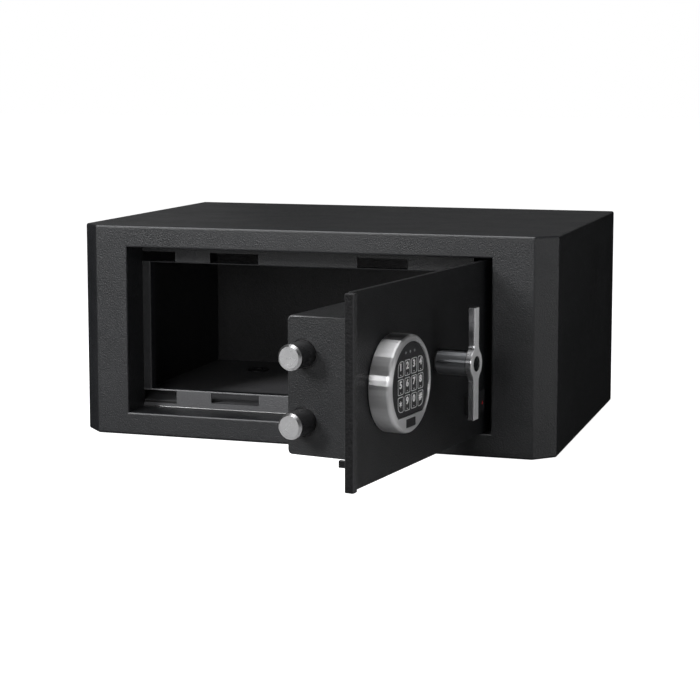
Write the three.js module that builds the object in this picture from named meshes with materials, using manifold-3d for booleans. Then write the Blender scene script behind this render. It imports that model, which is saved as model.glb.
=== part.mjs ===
// Fireproof safe with a digital keypad, a T handle and two live bolts, door standing open.
// Millimetres, +Z up. Origin: centre of the body's underside. Front of the safe faces -Y, hinges at +X.
import * as THREE from 'three';
import { mergeVertices, toCreasedNormals } from 'three/addons/utils/BufferGeometryUtils.js';
import Module from 'manifold-3d';

const wasm = await Module();
wasm.setup();

// Clearances
const gap = 0.3; // between two pieces that seat on each other
const runningGap = 0.3; // radial, between a shaft and its hole
const doorSideGap = 1; // door plate to the left recess wall
const doorHingeGap = 7; // door plate to the right recess wall
const doorBottomGap = 1.2;
const doorTopGap = 2.5;
const doorSeatGap = 0.5; // closed door plate to the ledge

// Body
const bodyWidth = 460;
const bodyDepth = 320;
const bodyHeight = 200;
const cornerChamfer = 18.5; // leg of the 45 degree front corners
const bendRadius = 3;
const edgeRadius = 2;
const shellSheet = 2.5;
const backSheet = 2.5;
const sideWall = 27.5; // outside of the body to the inside of the liner
const backWall = 30;
const linerSheet = 1;

// Door opening and the ledge behind it
const bandLeft = 50; // body side to the opening
const bandRight = 57;
const bandBottom = 21.3;
const bandTop = 20.2;
const mouthRadius = 1.6;
const recessDepth = 36.5; // front face to the ledge's face
const recessSheet = 2;
const rightWallDepth = 10; // the hinge side has only this much recess wall
const ledgeLeft = 8.5;
const ledgeTop = 17.8;
const ledgeBottom = 17.5;
const ledgeLip = 1.2; // thickness of the lip turned back into the cavity
const ledgeLipDepth = 8;
const hingeNotch = 25; // the ledge ends this far from the right recess wall
const slotStarts = [0, 70, 217]; // from the left recess wall
const slotWidths = [34.2, 48.8, 48.5];
const slotHeight = 10; // up to the ledge's lip, or down to it
const cornerSlotDrop = 2.4; // how much lower the slot in the bottom left corner starts

// Floor anchor
const anchorFromSide = 67.9; // its axis to the liner's left wall
const anchorFromBack = 57.1; // and to the liner's back wall
const anchorBore = 6;
const anchorSleeveRadius = 8;
const anchorFlangeRadius = 11.3;
const anchorFlange = 1.5;

// Hinge
const hingeInset = 28.5; // pivot axis to the right recess wall
const hingeSetback = 27.3; // pivot axis behind the ledge's face
const openAngle = THREE.MathUtils.degToRad(80.4);
const hingePinRadius = 4;
const hingeBlockSize = 24;
const hingeBlockHeight = 12.7;
const hingeArm = 6.4;
const hingeArmWidth = 33;
const hingeArmReach = 10; // past the pin's axis
const hingeFlange = 3;
const hingeFlangeHeight = 18;
const washerThickness = 1.1;
const pinHead = 1.6;

// Door
const plateSheet = 4;
const edgeBarWidth = 7;
const edgeBarProud = 4;
const edgeBarTrim = 0.5; // bar ends short of the plate at the top and starts below it
const lugWidth = 4.2;
const lugDepth = 8.7;
const lugHeight = 5.7;
const lugAboveLedge = 0.6; // clears the ledge when the door closes
const fireboardSheet = 11.7;

// Bolt case, measured from the plate's free end and its outer face
const caseStart = 20;
const caseHingeRoom = 23; // case to the hinge arms
const caseDepth = 64;
const caseBottom = 43.5;
const caseHeight = 111;
const caseSheet = 1.5;
const caseBend = 4;

// Boltwork
const boltRadius = 10.5;
const boltHeights = [70.5, 124.6];
const boltDepth = 50; // axis behind the outer face
const boltThrow = 24; // what stands out of the case when thrown
const boltLength = 54;
const boltChamfer = 2;
const boltTenonRadius = 6;
const boltTenon = 5.7;
const barSheet = 6;
const barWidth = 18;
const barOverhang = 12;
const bushWall = 0.9;
const bushInset = 0.6; // the bush's face behind the case's wall
const bushLength = 8;

// Handle and its rack and pinion
const handleAlong = 167; // from the plate's free end
const handleHeight = 101.5;
const stemRadius = 10.8;
const stemLength = 26.8;
const spindleRadius = 5;
const gripLength = 95.2;
const gripWidth = 9.8;
const gripThickness = 6;
const hubRadius = 12.3;
const hubFillet = 10;
const hubCapRadius = 6.3;
const hubCapDepth = 2.5;
const roseRadius = 11;
const rose = 1.1;
const toothModule = 2;
const pinionTeeth = 14;
const pinionAddendum = 1.7;
const rackAddendum = 1.5;
const toothDedendum = 2.1;
const toothBacklash = 0.3;
const pressureAngle = THREE.MathUtils.degToRad(20);
const gearFace = 6;
const gearDepth = 44; // near face of the gears behind the outer face
const rackTeeth = 8;
const rackEnd = 219; // from the plate's free end
const rackHeight = 11.3; // solid part of the rack above its teeth
const guideStart = 203;
const guideLength = 12;

// Lock
const lockStart = 54;
const lockWidth = 60;
const lockBelowKeypad = 38; // keypad's centre to the lock's underside
const lockHeight = 40;
const lockDepth = 22;
const latchWidth = 8;
const latchHeight = 12;
const latchLength = 14.5;
const latchAboveLock = 24;

// Keypad
const keypadAlong = 71.7;
const keypadHeight = 98;
const keypadRadius = 39.7;
const keypadProud = 19;
const keypadRound = 3;
const gasketThickness = 1.7;
const gasketRadius = 36;
const panelRadius = 34.2;
const panelChord = 24.9; // flat foot of the panel below the keypad's centre
const panelFront = 18.2;
const panelSheet = 4;
const pocketFloor = 8;
const boardSheet = 2.6;
const keyPitchX = 12.3;
const keyPitchZ = 14.1;
const keyWidth = 10.4;
const keyHeight = 12.9;
const keyProud = 0.3;
const keyLength = 6.1;
const keyRadius = 1.8;
const keyOuterRadius = 4.5;
const keyCurve = 3; // segments of a key's corner
const lightRow = 26;
const lightPitch = 8.2;
const lightRadius = 1.1;
const badgeRecess = { width: 18, height: 7.2, drop: 30.9, depth: 0.6 };
const cableRadius = 1.6;
const cableHole = 4;
const coverPlate = { fromHingeEnd: 88, width: 34, bottom: 45, height: 19, thickness: 4.2, radius: 1.5 };
const coverWindow = { radius: 1.6, fromEnd: 4.5, fromBottom: 7, depth: 1.5 };
const pocketReach = 40; // pivot axis to the back of the hinge pocket

// Places worked out from the sizes above
const bodyFront = -bodyDepth / 2;
const bodyBack = bodyDepth / 2;
const openLeft = -bodyWidth / 2 + bandLeft;
const openRight = bodyWidth / 2 - bandRight;
const openBottom = bandBottom;
const openTop = bodyHeight - bandTop;
const ledgeY = bodyFront + recessDepth;
const ledgeBackY = ledgeY + recessSheet;
const linerX = bodyWidth / 2 - sideWall;
const linerBottom = sideWall;
const linerTop = bodyHeight - sideWall;
const linerBack = bodyBack - backWall;
const linerFront = ledgeBackY + gap;
const anchorX = -linerX + anchorFromSide;
const anchorY = linerBack - anchorFromBack;
const pivotX = openRight - hingeInset;
const pivotY = ledgeY + hingeSetback;
const notchX = openRight - hingeNotch;
const plateIn = ledgeY - doorSeatGap;
const plateOut = plateIn - plateSheet;
const plateLeft = openLeft + doorSideGap;
const plateRight = openRight - doorHingeGap;
const plateBottom = openBottom + doorBottomGap;
const plateTop = openTop - doorTopGap;
const pocketFront = bodyFront + rightWallDepth;
const pocketLeft = notchX - gap * 2;
const pocketBack = pivotY + pocketReach;
const pocketBottom = openBottom + doorBottomGap / 4;
const pocketTop = openTop - doorBottomGap;
const caseLeft = plateLeft + caseStart;
const caseRight = pivotX - hingeArmWidth / 2 - caseHingeRoom;
const caseBack = plateOut + caseDepth;
const caseTop = caseBottom + caseHeight;
const boltY = plateOut + boltDepth;
const boltTip = caseLeft - boltThrow;
const boltRear = boltTip + boltLength;
const handleX = plateLeft + handleAlong;
const pitchRadius = (toothModule * pinionTeeth) / 2;
const toothPitch = Math.PI * toothModule;
const gearY = plateOut + gearDepth;
const rackPitchZ = handleHeight + pitchRadius;
const rackRootZ = rackPitchZ + toothDedendum;
const keypadX = plateLeft + keypadAlong;
const lockBottom = keypadHeight - lockBelowKeypad;
const latchBottom = lockBottom + latchAboveLock;
const boardFront = plateOut - pocketFloor - gap - boardSheet;
const gripBack = plateOut - rose - gap * 2 - stemLength - gap;
const gripFront = gripBack - gripThickness;

// Turns a closed geometry into a solid for joining and cutting
function solidOf(geometry) {
  const bare = geometry.clone();
  bare.deleteAttribute('normal');
  bare.deleteAttribute('uv');
  const merged = mergeVertices(bare, 1e-4);
  return new wasm.Manifold(new wasm.Mesh({
    numProp: 3,
    vertProperties: new Float32Array(merged.attributes.position.array),
    triVerts: new Uint32Array(merged.index.array),
  }));
}

function geometryOf(solid) {
  const mesh = solid.getMesh();
  const geometry = new THREE.BufferGeometry();
  geometry.setAttribute('position', new THREE.BufferAttribute(new Float32Array(mesh.vertProperties), 3));
  geometry.setIndex(new THREE.BufferAttribute(new Uint32Array(mesh.triVerts), 1));
  return toCreasedNormals(geometry, Math.PI / 6);
}

const cut = (base, tools) => geometryOf(tools.reduce((solid, tool) => solid.subtract(solidOf(tool)), solidOf(base)));
const join = (pieces) => geometryOf(pieces.map(solidOf).reduce((a, b) => a.add(b)));

// A box given by its low and high corners
function box(x0, x1, y0, y1, z0, z1) {
  const geometry = new THREE.BoxGeometry(x1 - x0, y1 - y0, z1 - z0);
  return geometry.translate((x0 + x1) / 2, (y0 + y1) / 2, (z0 + z1) / 2);
}

// A flat outline with rounded corners, from [x, y, radius] rows
function roundedOutline(corners) {
  const shape = new THREE.Shape();
  const count = corners.length;
  corners.forEach(([x, y, radius], i) => {
    const here = new THREE.Vector2(x, y);
    const before = new THREE.Vector2(...corners[(i + count - 1) % count]).sub(here).normalize();
    const after = new THREE.Vector2(...corners[(i + 1) % count]).sub(here).normalize();
    const reach = radius / Math.tan(before.angleTo(after) / 2);
    const start = here.clone().addScaledVector(before, reach);
    const end = here.clone().addScaledVector(after, reach);
    if (i === 0) shape.moveTo(start.x, start.y);
    else shape.lineTo(start.x, start.y);
    shape.quadraticCurveTo(x, y, end.x, end.y);
  });
  shape.closePath();
  return shape;
}

function rectangle(width, height, radius) {
  const w = width / 2;
  const h = height / 2;
  return roundedOutline([[-w, -h, radius], [w, -h, radius], [w, h, radius], [-w, h, radius]]);
}

// Extrudes along +Z between two heights, with rounded rims where rim is given
function prism(shape, z0, z1, rim = 0, curveSegments = 4) {
  const geometry = new THREE.ExtrudeGeometry(shape, {
    depth: z1 - z0 - 2 * rim,
    bevelEnabled: rim > 0,
    bevelThickness: rim,
    bevelSize: rim,
    bevelOffset: -rim,
    bevelSegments: 3,
    curveSegments,
  });
  return geometry.translate(0, 0, z0 + rim);
}

// The same along the door's thickness: the outline's y is height, from yBack forward to yFront
function slab(shape, x, z, yBack, yFront, rim = 0, curveSegments = 4) {
  return prism(shape, 0, yBack - yFront, rim, curveSegments).rotateX(Math.PI / 2).translate(x, yBack, z);
}

// The same along X: the outline's x runs along Y and its y is height
function bar(shape, x0, x1, y, z, rim = 0) {
  return prism(shape, 0, x1 - x0, rim).rotateY(Math.PI / 2).rotateX(Math.PI / 2).translate(x0, y, z);
}

function rodX(radius, x0, x1, y, z, sides = 32) {
  const rod = new THREE.CylinderGeometry(radius, radius, x1 - x0, sides);
  return rod.rotateZ(Math.PI / 2).translate((x0 + x1) / 2, y, z);
}

function rodY(radius, x, y0, y1, z, sides = 32) {
  return new THREE.CylinderGeometry(radius, radius, y1 - y0, sides).translate(x, (y0 + y1) / 2, z);
}

function rodZ(radius, x, y, z0, z1, sides = 32) {
  const rod = new THREE.CylinderGeometry(radius, radius, z1 - z0, sides);
  return rod.rotateX(Math.PI / 2).translate(x, y, (z0 + z1) / 2);
}

// Revolves rows of [radius, height] about an axis that then points along +Z, +X or -Y
function turned(rows, axis, x, y, z, sides = 40) {
  const points = rows.map(([r, h]) => new THREE.Vector2(r, h));
  const geometry = new THREE.LatheGeometry(points, sides);
  if (axis === 'z') geometry.rotateX(Math.PI / 2);
  if (axis === 'x') geometry.rotateZ(-Math.PI / 2);
  if (axis === '-y') geometry.rotateX(Math.PI);
  return geometry.translate(x, y, z);
}

// A solid through a row of rectangles, each at its own y
function loftedMouth(sections) {
  const points = sections.flatMap(({ y, x0, x1, z0, z1 }) => [x0, y, z0, x1, y, z0, x1, y, z1, x0, y, z1]);
  const faces = [0, 1, 2, 0, 2, 3];
  sections.slice(1).forEach((section, i) => {
    for (let side = 0; side < 4; side += 1) {
      const a = i * 4 + side;
      const b = i * 4 + ((side + 1) % 4);
      faces.push(a, a + 4, b, b, a + 4, b + 4);
    }
  });
  const last = (sections.length - 1) * 4;
  faces.push(last, last + 2, last + 1, last, last + 3, last + 2);
  const geometry = new THREE.BufferGeometry();
  geometry.setAttribute('position', new THREE.Float32BufferAttribute(points, 3));
  geometry.setIndex(faces);
  return geometry;
}

// A cutter whose mouth leaves a rounded edge of the given radius at y = face
function roundedMouth(x0, x1, z0, z1, face, radius, back) {
  const steps = 4;
  const sections = [{ y: face - radius, x0: x0 - radius, x1: x1 + radius, z0: z0 - radius, z1: z1 + radius }];
  for (let i = 0; i <= steps; i += 1) {
    const turn = (Math.PI / 2) * (i / steps);
    const grow = radius * (1 - Math.sin(turn));
    const y = face + radius * (1 - Math.cos(turn));
    sections.push({ y, x0: x0 - grow, x1: x1 + grow, z0: z0 - grow, z1: z1 + grow });
  }
  sections.push({ y: back, x0, x1, z0, z1 });
  return loftedMouth(sections);
}

// Plan of the body, chamfered at the two front corners, set in by a wall thickness
function bodyPlan(inset, backY = bodyBack - inset, backRadius = bendRadius) {
  const x = bodyWidth / 2 - inset;
  const front = bodyFront + inset;
  const leg = cornerChamfer - inset * (2 - Math.SQRT2);
  const bend = Math.max(bendRadius - inset, 0.3);
  return roundedOutline([
    [-x + leg, front, bend], [x - leg, front, bend], [x, front + leg, bend],
    [x, backY, backRadius], [-x, backY, backRadius], [-x, front + leg, bend],
  ]);
}

function outerShell() {
  const block = prism(bodyPlan(0), 0, bodyHeight, edgeRadius);
  const inside = prism(bodyPlan(shellSheet, bodyBack + shellSheet * 2, gap), shellSheet, bodyHeight - shellSheet);
  const mouth = roundedMouth(openLeft, openRight, openBottom, openTop, bodyFront, mouthRadius, ledgeY);
  const anchor = rodZ(anchorSleeveRadius + gap, anchorX, anchorY, -1, shellSheet + 1);
  return cut(block, [inside, mouth, anchor]);
}

function backPanel() {
  const width = bodyWidth - 2 * (shellSheet + gap);
  const height = bodyHeight - 2 * (shellSheet + gap);
  return slab(rectangle(width, height, gap * 2), 0, bodyHeight / 2, bodyBack, bodyBack - backSheet);
}

// The spaces inside the liner: the cavity and the pocket that the door's hinge edge swings into
function linerSpaces(grow, front) {
  return [
    box(-linerX - grow, linerX + grow, front, linerBack + grow, linerBottom - grow, linerTop + grow),
    box(pocketLeft - grow, linerX + grow, front, pocketBack + grow, pocketBottom - grow, pocketTop + grow),
    box(
      openRight + recessSheet + gap, linerX + grow, pocketFront - grow + gap, pocketBack,
      pocketBottom - grow, pocketTop + grow,
    ),
  ];
}

function innerLiner() {
  const skin = join(linerSpaces(linerSheet, linerFront));
  const hollow = [
    ...linerSpaces(0, linerFront - 5).slice(0, 2),
    box(openRight - 5, linerX, pocketFront + gap, pocketBack - 1, pocketBottom, pocketTop),
    rodZ(anchorSleeveRadius + gap, anchorX, anchorY, linerBottom - 5, linerBottom + 5),
  ];
  return cut(skin, hollow);
}

function insulationFill() {
  const inset = shellSheet + gap;
  const block = prism(bodyPlan(inset, bodyBack - backSheet - gap, gap), inset, bodyHeight - inset);
  const frameRoom = recessSheet + gap;
  return cut(block, [
    ...linerSpaces(linerSheet + gap, ledgeY),
    box(
      openLeft - frameRoom, openRight + frameRoom, bodyFront - 5, ledgeBackY + gap * 2,
      openBottom - frameRoom, openTop + frameRoom,
    ),
    rodZ(anchorSleeveRadius + gap, anchorX, anchorY, -5, linerBottom),
  ]);
}

// Recess walls, slotted ledge and the lip turned back into the cavity
function jambFrame() {
  const front = bodyFront + shellSheet + gap;
  const block = box(
    openLeft - recessSheet, openRight + recessSheet, front, ledgeBackY,
    openBottom - recessSheet, openTop + recessSheet,
  );
  const innerLeft = openLeft + ledgeLeft;
  const innerBottom = openBottom + ledgeBottom;
  const innerTop = openTop - ledgeTop;
  const lip = cut(
    box(
      innerLeft - ledgeLip, notchX, ledgeBackY - gap, ledgeBackY + ledgeLipDepth,
      innerBottom - ledgeLip, innerTop + ledgeLip,
    ),
    [box(innerLeft, notchX + 5, ledgeY, ledgeBackY + ledgeLipDepth + 5, innerBottom, innerTop)],
  );
  const slot = (i, z0, z1) => {
    const x0 = openLeft + slotStarts[i];
    return box(x0, x0 + slotWidths[i], ledgeY - 1, ledgeBackY + 1, z0, z1);
  };
  const lowLip = innerBottom - ledgeLip;
  const slots = slotStarts.flatMap((start, i) => [
    slot(i, lowLip - slotHeight - (i === 0 ? cornerSlotDrop : 0), lowLip),
    slot(i, innerTop + ledgeLip, innerTop + ledgeLip + slotHeight),
  ]);
  const walled = cut(block, [
    box(openLeft, openRight, front - 5, ledgeY, openBottom, openTop),
    box(openRight - 1, openRight + recessSheet + 1, pocketFront, ledgeBackY + 1, openBottom, openTop),
    box(notchX, openRight + recessSheet + 1, ledgeY - 1, ledgeBackY + 1, openBottom, openTop),
    roundedMouth(innerLeft, openRight, innerBottom, innerTop, ledgeY, ledgeLip, ledgeBackY + 1),
    ...slots,
  ]);
  const slottedLip = cut(lip, slots);
  return join([walled, slottedLip]);
}

function anchorSleeve() {
  const top = linerBottom + gap;
  return turned([
    [anchorBore, gap], [anchorSleeveRadius, gap], [anchorSleeveRadius, top],
    [anchorFlangeRadius, top], [anchorFlangeRadius, top + anchorFlange * 0.6],
    [anchorFlangeRadius - anchorFlange * 0.4, top + anchorFlange], [anchorBore, top + anchorFlange],
    [anchorBore, gap],
  ], 'z', anchorX, anchorY, 0, 24);
}

// Hinge: fixed blocks above and below, a pin in each, and the door's two arms on the pins
const lowerBlockTop = linerBottom + gap + hingeBlockHeight;
const upperBlockBottom = linerTop - gap - hingeBlockHeight;
const lowerArmBottom = lowerBlockTop + gap + washerThickness + gap;
const upperArmBottom = upperBlockBottom - gap * 2 - hingeArm;

function hingeBlock(z0) {
  const plan = rectangle(hingeBlockSize, hingeBlockSize, 3);
  const block = prism(plan, z0, z0 + hingeBlockHeight).translate(pivotX, pivotY, 0);
  return cut(block, [rodZ(hingePinRadius + runningGap, pivotX, pivotY, z0 - 1, z0 + hingeBlockHeight + 1)]);
}

function lowerHingePin() {
  const top = lowerArmBottom + hingeArm + 1.2;
  return turned([
    [0, linerBottom + gap * 2], [hingePinRadius, linerBottom + gap * 2], [hingePinRadius, top - 1],
    [hingePinRadius - 1, top], [0, top],
  ], 'z', pivotX, pivotY, 0, 24);
}

function upperHingePin() {
  const headTop = upperArmBottom - gap;
  const top = linerTop - gap * 2;
  return turned([
    [0, headTop - pinHead], [hingePinRadius + 1.5, headTop - pinHead], [hingePinRadius + 2.5, headTop - pinHead + 1],
    [hingePinRadius + 2.5, headTop], [hingePinRadius, headTop], [hingePinRadius, top], [0, top],
  ], 'z', pivotX, pivotY, 0, 24);
}

function thrustWasher() {
  const inner = hingePinRadius + runningGap;
  const z0 = lowerBlockTop + gap;
  return turned([
    [inner, z0], [hingePinRadius + 5, z0], [hingePinRadius + 5, z0 + washerThickness],
    [inner, z0 + washerThickness], [inner, z0],
  ], 'z', pivotX, pivotY, 0, 24);
}

// An L shaped arm: flange on the back of the plate, tongue round the pin
function hingeArmPiece(z0, flangeUp) {
  const back = plateIn + gap;
  const half = hingeArmWidth / 2;
  const reach = pivotY - back;
  const outline = roundedOutline([
    [-half, -reach, 0.5], [half, -reach, 0.5], [hingeArmReach, 0, 6],
    [hingeArmReach, hingeArmReach, 6], [-hingeArmReach, hingeArmReach, 6], [-hingeArmReach, 0, 6],
  ]);
  const tongue = prism(outline, z0, z0 + hingeArm).translate(pivotX, pivotY, 0);
  const flangeBottom = flangeUp ? z0 : z0 + hingeArm - hingeFlangeHeight;
  const flangeTop = flangeBottom + hingeFlangeHeight;
  const flange = box(pivotX - half, pivotX + half, back, back + hingeFlange, flangeBottom, flangeTop);
  return cut(join([tongue, flange]), [rodZ(hingePinRadius + runningGap, pivotX, pivotY, z0 - 1, z0 + hingeArm + 1)]);
}

// Door
function doorPlate() {
  const plate = box(plateLeft + edgeBarWidth + gap, plateRight, plateOut, plateIn, plateBottom, plateTop);
  return cut(plate, [
    rodY(cableHole, keypadX, plateOut - 1, plateIn + 1, keypadHeight),
    rodY(spindleRadius + runningGap * 2 + bushWall * 1.5, handleX, plateOut - 1, plateIn + 1, handleHeight),
  ]);
}

function doorEdgeBar() {
  const depth = plateSheet + edgeBarProud;
  const outline = rectangle(edgeBarWidth, depth, 1.4);
  const x = plateLeft + edgeBarWidth / 2;
  const y = plateIn - depth / 2;
  return prism(outline, plateBottom - edgeBarTrim, plateTop - edgeBarTrim, 1).translate(x, y, 0);
}

function doorLug() {
  const x = plateLeft + edgeBarWidth + 1 + lugWidth / 2;
  const z = openBottom + ledgeBottom + lugAboveLedge + lugHeight / 2;
  return slab(rectangle(lugWidth, lugHeight, 0.8), x, z, plateIn + gap + lugDepth, plateIn + gap);
}

function doorFireboard() {
  const side = caseSheet + gap;
  const board = box(
    caseLeft + side, caseRight - side, plateIn + gap, plateIn + gap + fireboardSheet,
    caseBottom + side, caseTop - side,
  );
  return cut(board, [
    rodY(cableHole + 1, keypadX, plateIn - 1, plateIn + fireboardSheet + 2, keypadHeight),
    rodY(spindleRadius + runningGap + bushWall * 2, handleX, plateIn - 1, plateIn + fireboardSheet + 2, handleHeight),
  ]);
}

// Folded steel case over the boltwork, open towards the plate
function boltCase() {
  const front = plateIn + gap;
  const outline = (inset) => {
    const bend = Math.max(caseBend - inset, 1);
    const back = caseBack - inset;
    const open = inset ? front - 5 : front;
    return roundedOutline([
      [open, caseBottom + inset, 0.2], [back, caseBottom + inset, bend],
      [back, caseTop - inset, bend], [open, caseTop - inset, 0.2],
    ]);
  };
  const skin = bar(outline(0), caseLeft, caseRight, 0, 0);
  const inside = bar(outline(caseSheet), caseLeft + caseSheet, caseRight - caseSheet, 0, 0);
  const holeRadius = boltRadius + runningGap + bushWall + gap;
  const holes = boltHeights.map((z) => rodX(holeRadius, caseLeft - 2, caseLeft + 5, boltY, z));
  const bushHole = spindleRadius + runningGap + bushWall * 1.5 + gap;
  const spindleHole = rodY(bushHole, handleX, caseBack - 5, caseBack + 1, handleHeight);
  return cut(skin, [inside, ...holes, spindleHole]);
}

function boltBush(z) {
  const inner = boltRadius + runningGap;
  const outer = inner + bushWall;
  return turned([
    [inner, bushInset], [outer, bushInset], [outer, bushLength], [inner, bushLength], [inner, bushInset],
  ], 'x', caseLeft, boltY, z, 28);
}

function liveBolt(z) {
  return turned([
    [0, 0], [boltRadius - boltChamfer, 0], [boltRadius, boltChamfer], [boltRadius, boltLength],
    [boltTenonRadius, boltLength], [boltTenonRadius, boltLength + boltTenon], [0, boltLength + boltTenon],
  ], 'x', boltTip, boltY, z, 36);
}

function boltBar() {
  const x0 = boltRear + gap;
  const z0 = boltHeights[0] - barOverhang;
  const z1 = boltHeights[1] + barOverhang;
  const plate = bar(rectangle(barWidth, z1 - z0, 3), x0, x0 + barSheet, boltY, (z0 + z1) / 2);
  return cut(plate, boltHeights.map((z) => rodX(boltTenonRadius + gap, x0 - 1, x0 + barSheet + 1, boltY, z, 24)));
}

// Toothed bar: its teeth point down at the pinion, and a gap between two teeth stands over the pinion's axis
function boltRack() {
  const x0 = boltRear + gap + barSheet + gap;
  const x1 = plateLeft + rackEnd;
  const tip = rackPitchZ - rackAddendum;
  const half = (toothPitch / 2 - toothBacklash / 2) / 2;
  const lean = Math.tan(pressureAngle);
  const outline = new THREE.Shape();
  outline.moveTo(x0, rackRootZ + rackHeight);
  outline.lineTo(x0, rackRootZ);
  const first = handleX - (rackTeeth - 2.5) * toothPitch;
  for (let i = 0; i < rackTeeth; i += 1) {
    const middle = first + i * toothPitch;
    outline.lineTo(middle - half - toothDedendum * lean, rackRootZ);
    outline.lineTo(middle - half + rackAddendum * lean, tip);
    outline.lineTo(middle + half - rackAddendum * lean, tip);
    outline.lineTo(middle + half + toothDedendum * lean, rackRootZ);
  }
  outline.lineTo(x1, rackRootZ);
  outline.lineTo(x1, rackRootZ + rackHeight);
  outline.closePath();
  return slab(outline, 0, 0, gearY + gearFace, gearY);
}

// Involute pinion, a tooth standing straight up under the rack
function drivePinion() {
  const base = pitchRadius * Math.cos(pressureAngle);
  const tip = pitchRadius + pinionAddendum;
  const root = pitchRadius - toothDedendum;
  const involute = (angle) => Math.tan(angle) - angle;
  const halfAtPitch = (toothPitch / 2 - toothBacklash / 2) / 2 / pitchRadius;
  const halfAngle = (radius) => {
    const pressure = Math.acos(Math.min(base / radius, 1));
    return halfAtPitch + involute(pressureAngle) - involute(pressure);
  };
  const radii = [root, base, (base + pitchRadius) / 2, pitchRadius, (pitchRadius + tip) / 2, tip];
  const outline = new THREE.Shape();
  for (let tooth = 0; tooth < pinionTeeth; tooth += 1) {
    const middle = Math.PI / 2 + (tooth * 2 * Math.PI) / pinionTeeth;
    const rising = radii.map((r) => [r, middle - halfAngle(Math.max(r, base))]);
    const falling = radii.map((r) => [r, middle + halfAngle(Math.max(r, base))]).reverse();
    [...rising, ...falling].forEach(([r, a], i) => {
      const x = r * Math.cos(a);
      const y = r * Math.sin(a);
      if (tooth === 0 && i === 0) outline.moveTo(x, y);
      else outline.lineTo(x, y);
    });
  }
  outline.closePath();
  const blank = slab(outline, handleX, handleHeight, gearY + gearFace, gearY);
  const boss = rodY(spindleRadius + 3.5, handleX, gearY + gearFace - 1, gearY + gearFace + 5, handleHeight);
  const bore = rodY(spindleRadius + gap, handleX, gearY - 5, gearY + gearFace + 8, handleHeight);
  return cut(join([blank, boss]), [bore]);
}

function rackGuide() {
  const x0 = plateLeft + guideStart;
  const front = plateIn + fireboardSheet + gap * 2;
  const post = box(x0, x0 + guideLength, front, gearY + gearFace + 4, rackRootZ - 8, rackRootZ + rackHeight + 4);
  const play = gap + 0.1;
  return cut(post, [
    box(
      x0 - 1, x0 + guideLength + 1, gearY - play, gearY + gearFace + play,
      rackRootZ - play, rackRootZ + rackHeight + play,
    ),
  ]);
}

// Handle, all of it turning about the spindle's axis
function gripOutline() {
  const w = gripWidth / 2;
  const half = gripLength / 2;
  const centre = w + hubFillet;
  const rise = Math.sqrt((hubRadius + hubFillet) ** 2 - centre ** 2);
  const toHub = Math.atan2(rise, centre);
  const outline = new THREE.Shape();
  outline.moveTo(-w, -half);
  outline.lineTo(w, -half);
  outline.lineTo(w, -rise);
  outline.absarc(centre, -rise, hubFillet, Math.PI, Math.PI - toHub, true);
  outline.absarc(0, 0, hubRadius, -toHub, toHub, false);
  outline.absarc(centre, rise, hubFillet, Math.PI + toHub, Math.PI, true);
  outline.lineTo(w, half);
  outline.lineTo(-w, half);
  outline.lineTo(-w, rise);
  outline.absarc(-centre, rise, hubFillet, 0, -toHub, true);
  outline.absarc(0, 0, hubRadius, Math.PI - toHub, Math.PI + toHub, false);
  outline.absarc(-centre, -rise, hubFillet, toHub, 0, true);
  outline.closePath();
  return outline;
}

function handleGrip() {
  const blank = slab(gripOutline(), handleX, handleHeight, gripBack, gripFront, 0.8, 5);
  return cut(blank, [rodY(hubCapRadius + gap, handleX, gripFront - 1, gripFront + hubCapDepth, handleHeight)]);
}

function hubCap() {
  const y = gripFront + hubCapDepth - gap;
  return turned([
    [0, 0], [hubCapRadius, 0], [hubCapRadius, 0.7], [hubCapRadius - 0.6, 1.3], [0, 1.3],
  ], '-y', handleX, y, handleHeight, 24);
}

function handleStem() {
  const rear = plateOut - rose - gap * 2;
  const stem = rodY(stemRadius, handleX, rear - stemLength, rear, handleHeight, 36);
  return cut(stem, [rodY(spindleRadius + gap, handleX, rear - stemLength + 3, rear + 1, handleHeight)]);
}

function handleSpindle() {
  const rear = plateOut - rose - gap * 2;
  return rodY(spindleRadius, handleX, rear - stemLength + 3 + gap, caseBack - 2, handleHeight);
}

function spindleBush() {
  const inner = spindleRadius + runningGap;
  const outer = inner + bushWall * 1.5;
  return turned([
    [inner, -plateSheet], [outer, -plateSheet], [outer, gap], [roseRadius, gap], [roseRadius, gap + rose * 0.5],
    [roseRadius - 0.6, gap + rose], [inner, gap + rose], [inner, -plateSheet],
  ], '-y', handleX, plateOut, handleHeight, 28);
}

function rearSpindleBush() {
  const inner = spindleRadius + runningGap;
  const outer = inner + bushWall * 1.5;
  const shoulder = caseSheet + gap;
  return turned([
    [inner, 0], [outer, 0], [outer, shoulder], [outer + 3, shoulder], [outer + 3, shoulder + 3],
    [inner, shoulder + 3], [inner, 0],
  ], '-y', handleX, caseBack, handleHeight, 24);
}

// Lock
function lockBody() {
  const x0 = plateLeft + lockStart;
  const front = plateIn + fireboardSheet + gap * 2;
  const outline = rectangle(lockWidth, lockHeight, 3);
  const body = slab(outline, x0 + lockWidth / 2, lockBottom + lockHeight / 2, front + lockDepth, front, 0);
  const room = gap;
  const latchX = latchLeft();
  return cut(body, [box(
    latchX - room, latchX + latchWidth + room, latchRear() - 1, front + lockDepth + 1,
    latchBottom - room, latchBottom + latchHeight + room,
  )]);
}

const latchLeft = () => boltRear + gap + barSheet + 0.5;
const latchRear = () => plateIn + fireboardSheet + gap * 2 + lockDepth - latchLength + gap;

function lockLatch() {
  const x = latchLeft() + latchWidth / 2;
  const z = latchBottom + latchHeight / 2;
  return slab(rectangle(latchWidth, latchHeight, 1), x, z, latchRear() + latchLength, latchRear(), 0);
}

function lockCable() {
  return rodY(cableRadius, keypadX, boardFront + boardSheet + gap, plateIn + fireboardSheet + gap, keypadHeight, 12);
}

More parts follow.
